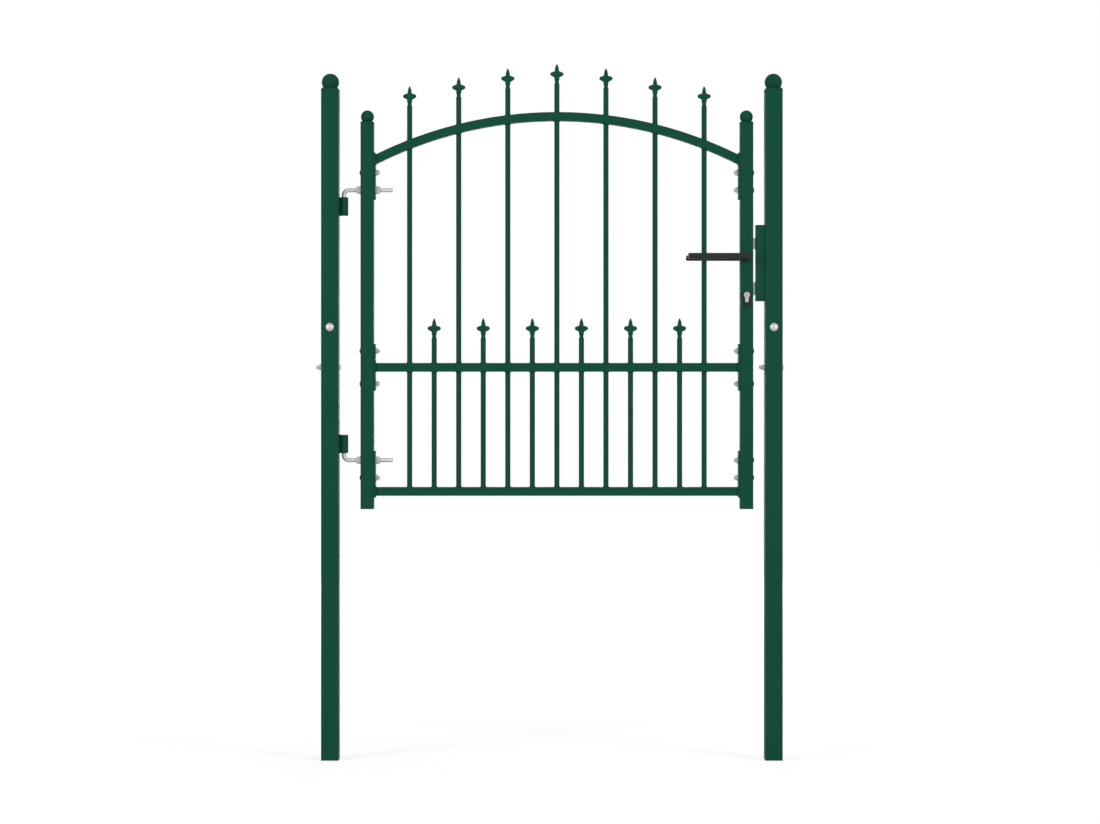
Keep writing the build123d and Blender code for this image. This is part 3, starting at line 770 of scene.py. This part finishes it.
@dataclass
class Welds:
    """Rippled weld beads under the coat, where tubes and plates meet."""

    bead: float = 1.2 * MM
    ripple: float = 2.4 * MM
    ripple_share: float = 0.16
    puddle_power: float = 0.6
    puddle_level: float = 0.6
    wander_share: float = 0.10
    sink: float = 0.35 * MM
    collar_bead: float = 0.7 * MM
    collar_sink: float = 0.2 * MM
    slow_wave: float = 7.3 * MM
    quick_wave: float = 3.1 * MM
    barrel_foot: float = 13 * MM
    barrel_inset: float = 3 * MM
    corner_power: int = 10
    stitches: int = 3
    rows_a_ripple: int = 6
    ring_points: int = 60
    frame_points: int = 144
    columns: int = 12

    def radii(self, along: Array, bead: float) -> Array:
        """Give the bead's radius along its length.

        Each puddle swells by a power of its share of a ripple and drops where the next begins, and
        two sine waves of other lengths make the bead wander.

        Args:
            along: distance of each row along the bead.
            bead: mean radius.

        Returns:
            The radii, rows by columns.
        """
        puddle = np.mod(along / self.ripple, 1) ** self.puddle_power - self.puddle_level
        wander = np.sin(along / self.slow_wave) + np.sin(along / self.quick_wave)
        swell = 1 + self.ripple_share * puddle + self.wander_share * wander / 2
        return (bead * swell)[:, None].repeat(self.columns, axis=1)

    def loop(self, path: Array, across: tuple[float, float, float], bead: float) -> Surface:
        """Carry a bead round a closed path, with a whole number of ripples.

        Args:
            path: points of the bead's middle.
            across: a direction that is nowhere along the path.
            bead: mean radius.

        Returns:
            The closed bead.
        """
        step = np.linalg.norm(np.roll(path, -1, axis=0) - path, axis=1)
        along = np.cumsum(step)
        whole = max(1, round(along[-1] / self.ripple)) * self.ripple
        radii = self.radii(along * whole / along[-1], bead)
        grid = carried_grid(path, np.array(across), radii, closed=True)
        return Surface.from_grid(grid, closed=True)

    def upright_seam(self, x: float, y: float, start: float, end: float) -> Surface:
        """Carry a bead up a straight seam, with round ends.

        Within a bead's radius of either end, the radius shrinks as a quarter circle.

        Args:
            x: the seam's place along X.
            y: the seam's place along Y.
            start: height of the lower end.
            end: height of the upper end.

        Returns:
            The closed bead.
        """
        length = end - start
        share = np.linspace(0, 1, int(length / self.ripple * self.rows_a_ripple))
        ones = np.ones_like(share)
        path = np.stack((ones * x, ones * y, start + share * length), axis=-1)
        reach = np.minimum(share, 1 - share) * length / self.bead
        round_end = np.sqrt(np.clip(1 - (1 - np.clip(reach, 0, 1)) ** 2, 0, 1))
        radii = self.radii(share * length, self.bead) * round_end[:, None]
        across = np.array((1.0, 0.0, 0.0))
        return Surface.from_grid(carried_grid(path, across, radii, closed=False), closed=False)

    def picket_ring(self, place: float, radius: float, levels: Array, bead: float) -> Surface:
        """Run a bead round a picket: x is the place plus r times cos a, y is r times sin a.

        Args:
            place: the picket's place along X.
            radius: radius of the bead's centre line.
            levels: height of each point of the ring.
            bead: the bead's own radius.

        Returns:
            The closed bead.
        """
        turn = np.linspace(0, TURN, len(levels), endpoint=False)
        path = np.stack((place + radius * np.cos(turn), radius * np.sin(turn), levels), axis=-1)
        return self.loop(path, (0.0, 0.0, 1.0), bead)

    def frame_ring(self, x: float, half: float, low: float, high: float) -> Surface:
        """Run a bead round a rail's end on its plate.

        The path is a superellipse, a rectangle with rounded corners. With p for the corner power,
        it reaches (cos a to the p plus sin a to the p) to the power of minus one over p, times
        half the rail's width or height plus the sink.

        Args:
            x: the plate's face.
            half: half the rail's width along Y.
            low: underside of the rail's end.
            high: upper side of the rail's end.

        Returns:
            The closed bead.
        """
        share = np.linspace(0, TURN, self.frame_points, endpoint=False)
        cos, sin = np.cos(share), np.sin(share)
        power = self.corner_power
        reach = (np.abs(cos) ** power + np.abs(sin) ** power) ** (-1 / power)
        rise = (high - low) / 2 + self.sink
        path_y = (half + self.sink) * reach * cos
        path_z = (high + low) / 2 + rise * reach * sin
        path = np.stack((np.full_like(path_y, x), path_y, path_z), axis=-1)
        return self.loop(path, (1.0, 0.0, 0.0), self.bead)

    def on_picket(self, name: str, arch: ArchLine) -> list[Surface]:
        """Lay the beads on one picket: at the rails that it meets and under its spear point.

        Args:
            name: name of the picket's solid.
            arch: circle of the arched rail, which the tall pickets go through.

        Returns:
            The closed beads.
        """
        low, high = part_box(name)
        rail_low, rail_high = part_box("middle_rail")
        place, radius = (low.x + high.x) / 2, (high.x - low.x) / 2
        ring, collar = radius + self.bead / 2 - self.sink, radius - self.collar_sink
        turn = np.linspace(0, TURN, self.ring_points, endpoint=False)
        level = np.ones_like(turn)
        sides = [low.z + self.sink, rail_low.z - self.sink, rail_high.z + self.sink]
        beads = [self.picket_ring(place, ring, level * side, self.bead) for side in sides]
        beads.append(self.picket_ring(place, collar, level * high.z, self.collar_bead))
        if name.startswith("tall"):
            for lift, off in ((arch.half, self.sink), (-arch.half, -self.sink)):
                levels = arch.height(place + ring * np.cos(turn), lift) + off
                beads.append(self.picket_ring(place, ring, levels, self.bead))
        return beads

    def on_rail_ends(self, arch: ArchLine) -> list[Surface]:
        """Lay the beads round both ends of the three rails, on their plates.

        Args:
            arch: circle of the arched rail.

        Returns:
            The closed beads.
        """
        beads = []
        for x in arch.ends:
            low_end, high_end = (arch.height(x, lift) for lift in (-arch.half, arch.half))
            beads.append(self.frame_ring(x, arch.half, low_end, high_end))
            for rail in ("middle_rail", "bottom_rail"):
                low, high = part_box(rail)
                beads.append(self.frame_ring(x, arch.half, low.z, high.z))
        return beads

    def on_posts(self) -> list[Surface]:
        """Lay the beads on the posts: both sides of each barrel and of the strike.

        Returns:
            The closed beads.
        """
        beads = []
        for barrel in ("upper_hinge_barrel", "lower_hinge_barrel"):
            low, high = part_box(barrel)
            foot = self.barrel_foot / 2 + self.sink
            start, end = low.z + self.barrel_inset, high.z - self.barrel_inset
            for edge in (-foot, foot):
                beads.append(self.upright_seam(low.x + self.sink, edge, start, end))
        low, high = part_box("strike_box")
        # Gaps are as long as stitches, with half a gap at each end
        stitch = (high.z - low.z) / (2 * self.stitches)
        for count in range(self.stitches):
            start = low.z + stitch * (2 * count + 0.5)
            for edge in (low.y - self.sink / 2, high.y + self.sink / 2):
                beads.append(self.upright_seam(high.x - self.sink, edge, start, start + stitch))
        return beads

    def build(self, workshop: Workshop) -> None:
        """Put the beads of both bodies into the scene.

        Args:
            workshop: takes the finished pieces.
        """
        arch = ArchLine.of_rail()
        pickets = [name for name in workshop.solids if "_picket_" in name]
        leaf = [bead for name in pickets for bead in self.on_picket(name, arch)]
        leaf += self.on_rail_ends(arch)
        workshop.put("leaf_weld_beads", leaf, Slot.COAT, Body.LEAF)
        workshop.put("post_weld_beads", self.on_posts(), Slot.COAT, Body.POSTS)


def plug_axis() -> tuple[float, float, float]:
    """Give the middle of the key plug, from the box of the cylinder that it turns in."""
    low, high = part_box("key_cylinder")
    return (low.x + high.x) / 2, 0.0, high.z - (high.x - low.x) / 2


@dataclass
class KeyTrim:
    """Keyhole-shaped trims round the key cylinder, one on each face of the lock stile."""

    tail_width: float = 14.8 * MM
    cylinder_tail_width: float = 8.4 * MM
    overlap: float = 0.2 * MM
    edge: float = 0.7 * MM
    columns: int = 240

    def outline(self, head: float, tail_width: float, drop: float) -> Array:
        """Give the reach of a keyhole shape from the plug's axis, over one turn.

        The tail is a strip with a round end. A ray at an angle a from straight down leaves its
        side at w over sin a, or its end at c cos a plus the root of w squared less (c sin a)
        squared, where w is half the width and c is how far the end's centre lies below the axis.

        Args:
            head: radius of the round head about the axis.
            tail_width: width of the tail.
            drop: distance from the axis to the tail's lowest point.

        Returns:
            The reach at each angle, anticlockwise from the right.
        """
        turn = np.linspace(0, TURN, self.columns, endpoint=False)
        down, aside = -np.sin(turn), np.abs(np.cos(turn))
        half = tail_width / 2
        centre = drop - half
        side = half / np.maximum(aside, half / drop)
        end = centre * down + np.sqrt(np.clip(half**2 - (centre * aside) ** 2, 0, None))
        tail = np.where(side * down < centre, side, end)
        return np.maximum(np.where(down > 0, tail, 0), head)

    def build(self, workshop: Workshop) -> None:
        """Put both trims in the place of the solids' plain oval ones.

        Args:
            workshop: takes the finished pieces.
        """
        low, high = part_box("key_rosettes")
        cylinder_low, cylinder_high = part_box("key_cylinder")
        stile_low, stile_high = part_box("lock_stile")
        x, _, z = plug_axis()
        plug = (cylinder_high.x - cylinder_low.x) / 2
        outer = self.outline((high.x - low.x) / 2, self.tail_width, z - low.z)
        inner = self.outline(plug, self.cylinder_tail_width, z - cylinder_low.z) - self.overlap
        front = stile_low.y - low.y
        radii = np.stack((inner, outer, outer, outer - self.edge, inner))
        heights = np.array((0, 0, front - self.edge, front, front))[:, None]
        trim = Surface.from_grid(turned_grid(radii, heights), closed=True)
        faces = ((Facing.FRONT, stile_low.y), (Facing.REAR, stile_high.y))
        pair = [trim.placed(facing, (x, y, z)) for facing, y in faces]
        workshop.put("keyhole_trims", pair, Slot.BLACK, Body.LEAF, "key_rosettes")


@dataclass
class LockTrim:
    """Screws that hold the lock's faceplate in the stile."""

    screw_diameter: float = 8 * MM
    screw_rise: float = 0.5 * MM
    recess_width: float = 1.3 * MM
    recess_reach: float = 2.6 * MM
    recess_depth: float = 1.2 * MM
    end_margin: float = 8 * MM

    def build(self, workshop: Workshop) -> None:
        """Put a screw near each end of the faceplate.

        Args:
            workshop: takes the finished pieces.
        """
        low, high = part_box("lock_faceplate")
        heights = (low.z + self.end_margin, high.z - self.end_margin)
        recess = self.recess_width, self.recess_reach, self.recess_depth
        head = CrossScrew(self.screw_diameter, self.screw_rise, *recess).surface()
        heads = [head.placed(Facing.RIGHT, (high.x, 0, height)) for height in heights]
        workshop.put("faceplate_screws", heads, Slot.ZINC, Body.LEAF)


@dataclass
class Studio:
    """White floor, white surround, soft lamps and the camera."""

    camera_place: tuple[float, float, float] = (0.5042, -5.72, 0.798)
    lens_mm: float = 81.52
    sensor_mm: float = 36.0
    surround: float = 0.6
    floor_reach: float = 60.0
    floor_glow: float = 0.35
    floor_light_near: float = 1.92
    floor_light_far: float = 2.2
    floor_fade: float = 6.0
    floor_paint: tuple[float, float, float, float] = (0.6, 0.6, 0.6, 1.0)
    lamp_watts: float = 112.0
    front_lamp: tuple[float, float, float] = (4.7, -3.9, 1.6)
    rear_lamp: tuple[float, float, float] = (0.0, 6.3, 0.4)
    lamp_size: float = 1.4
    target: tuple[float, float, float] = (0.51, 0.0, 0.9)

    @staticmethod
    def seen(tree: bpy.types.NodeTree) -> bpy.types.NodeSocket:
        """Tell the rays that see a surface from those that only carry its light.

        Args:
            tree: tree of a floor or a surround.

        Returns:
            One for rays from the camera and for mirrored and refracted rays, else zero.
        """
        path = add_node(tree, "ShaderNodeLightPath").outputs
        mirrored = {0: path["Is Glossy Ray"], 1: path["Is Transmission Ray"]}
        either = add_node(tree, "ShaderNodeMath", mirrored, operation="MAXIMUM").outputs[0]
        both = {0: path["Is Camera Ray"], 1: either}
        return add_node(tree, "ShaderNodeMath", both, operation="MAXIMUM").outputs[0]

    def build_world(self) -> None:
        """Surround the gate with white, dimmer for the light that it sheds."""
        world = bpy.data.worlds.new("white_surround")
        world.use_nodes = True
        tree = world.node_tree
        tree.nodes.clear()
        shed = add_node(tree, "ShaderNodeBackground", {"Color": WHITE, "Strength": self.surround})
        shown = add_node(tree, "ShaderNodeBackground", {"Color": WHITE, "Strength": 1.0})
        feeds = {0: self.seen(tree), 1: shed.outputs[0], 2: shown.outputs[0]}
        mixed = add_node(tree, "ShaderNodeMixShader", feeds)
        add_node(tree, "ShaderNodeOutputWorld", {"Surface": mixed.outputs[0]})
        bpy.context.scene.world = world

    def build_floor(self) -> None:
        """Lay a white floor that keeps a faint shadow.

        Its own light grows with the distance from the gate as the lamps' light falls off, so that
        the floor meets the surround without a line.
        """
        reach = self.floor_reach
        corners = [(-reach, -reach, 0), (reach, -reach, 0), (reach, reach, 0), (-reach, reach, 0)]
        mesh = bpy.data.meshes.new("studio_floor")
        mesh.from_pydata(corners, [], [(0, 1, 2, 3)])
        paint = bpy.data.materials.new("matt_white_floor_paint")
        paint.use_nodes = True
        tree = paint.node_tree
        tree.nodes.clear()
        matt = add_node(tree, "ShaderNodeBsdfDiffuse", {"Color": self.floor_paint})
        place = {0: add_node(tree, "ShaderNodeTexCoord").outputs["Object"]}
        away = add_node(tree, "ShaderNodeVectorMath", place, operation="LENGTH").outputs["Value"]
        fade = {2: self.floor_fade, 3: self.floor_light_near, 4: self.floor_light_far}
        light = add_node(tree, "ShaderNodeMapRange", {"Value": away, **fade}).outputs["Result"]
        glow = add_node(tree, "ShaderNodeEmission", {"Color": WHITE, "Strength": light})
        share = {0: self.seen(tree), 1: self.floor_glow}
        part = add_node(tree, "ShaderNodeMath", share, operation="MULTIPLY")
        feeds = {0: part.outputs[0], 1: matt.outputs[0], 2: glow.outputs[0]}
        mixed = add_node(tree, "ShaderNodeMixShader", feeds)
        add_node(tree, "ShaderNodeOutputMaterial", {"Surface": mixed.outputs[0]})
        mesh.materials.append(paint)
        floor = bpy.data.objects.new("studio_floor", mesh)
        bpy.context.scene.collection.objects.link(floor)

    def build_lamps(self) -> None:
        """Stand a soft lamp on each side of the camera and one behind, all aimed at the gate."""
        right = Vector(self.front_lamp)
        for offset in (right, right * Vector((-1, 1, 1)), Vector(self.rear_lamp)):
            data = bpy.data.lights.new("softbox", "AREA")
            data.size, data.energy = self.lamp_size, self.lamp_watts
            lamp = bpy.data.objects.new("softbox", data)
            lamp.location = Vector(self.target) + offset
            lamp.rotation_euler = offset.to_track_quat("Z", "Y").to_euler()
            lamp.visible_camera = False
            bpy.context.scene.collection.objects.link(lamp)

    def build_camera(self) -> None:
        """Stand the camera level, square on to the gate."""
        data = bpy.data.cameras.new("portrait_camera")
        data.lens, data.sensor_width = self.lens_mm, self.sensor_mm
        camera = bpy.data.objects.new("portrait_camera", data)
        camera.location = self.camera_place
        camera.rotation_euler = (TURN / 4, 0, 0)
        bpy.context.scene.collection.objects.link(camera)
        bpy.context.scene.camera = camera

    def build(self) -> None:
        """Build the whole studio."""
        bpy.context.scene.view_settings.view_transform = "Standard"
        self.build_world()
        self.build_floor()
        self.build_lamps()
        self.build_camera()


def finishes() -> dict[Slot, Finish]:
    """List the gate's finishes by their slots.

    Returns:
        One finish for each slot.
    """
    return {
        # Polyester powder stoved on steel: an even satin green with a faint orange peel
        Slot.COAT: Finish(
            name="stoved_powder_coat",
            tone="#124B38",
            other_tone="#164E3B",
            roughness=0.6,
            rougher=0.68,
            drift_mm=60,
            grain_mm=1.8,
            grain_height_mm=0.012,
            specular=0.06,
        ),
        # Polyamide moulded in a spark-eroded tool: the same green, duller, with a fine grain
        Slot.CAP: Finish(
            name="moulded_polyamide",
            tone="#114A37",
            other_tone="#154D3A",
            roughness=0.66,
            rougher=0.74,
            drift_mm=25,
            grain_mm=0.6,
            grain_height_mm=0.01,
            specular=0.06,
        ),
        # Bright zinc plate, blue passivated: pale grey with faint clouds and a soft shine
        Slot.ZINC: Finish(
            name="passivated_zinc_plate",
            tone="#BABEBD",
            other_tone="#CBCCC9",
            roughness=0.48,
            rougher=0.58,
            drift_mm=5,
            grain_mm=0.5,
            grain_height_mm=0.004,
            metallic=1,
        ),
        # Black stoving paint on a zinc die casting: satin with a fine texture
        Slot.BLACK: Finish(
            name="black_paint_on_die_cast",
            tone="#131515",
            other_tone="#191B1B",
            roughness=0.42,
            rougher=0.52,
            drift_mm=12,
            grain_mm=0.5,
            grain_height_mm=0.008,
            specular=0.3,
        ),
        # Nickel plate on brass, faced on a lathe: pale grey with fine rings
        Slot.NICKEL: TurnedFinish(
            name="nickel_plate_on_brass",
            tone="#B2B2AF",
            other_tone="#BEBEBA",
            roughness=0.28,
            rougher=0.38,
            drift_mm=4,
            grain_mm=0.35,
            grain_height_mm=0.006,
            metallic=1,
            specular=0.5,
            centre=plug_axis(),
        ),
    }


def dress_solids(frame: dict, materials: dict[Slot, bpy.types.Material]) -> None:
    """Give each solid the finish of its slot.

    Args:
        materials: material of each slot.
    """
    for part in frame["record"]["subparts"]:
        mesh = frame["nodes"][part["node"]].data
        mesh.materials.clear()
        mesh.materials.append(materials[Slot(part["material_slot"])])


def main() -> None:
    """Build the studio and every sub-assembly in order."""
    logging.basicConfig(level=logging.INFO, format="%(message)s")
    bpy.ops.wm.read_factory_settings(use_empty=True)
    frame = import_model()
    materials = {slot: finish.material() for slot, finish in finishes().items()}
    dress_solids(frame, materials)
    workshop = Workshop(materials, list(frame["nodes"]))
    for assembly in (HingeHardware(), FenceBolts(), PanelBolts(), Welds(), KeyTrim(), LockTrim()):
        assembly.build(workshop)
    Studio().build()


if __name__ == "__main__":
    main()
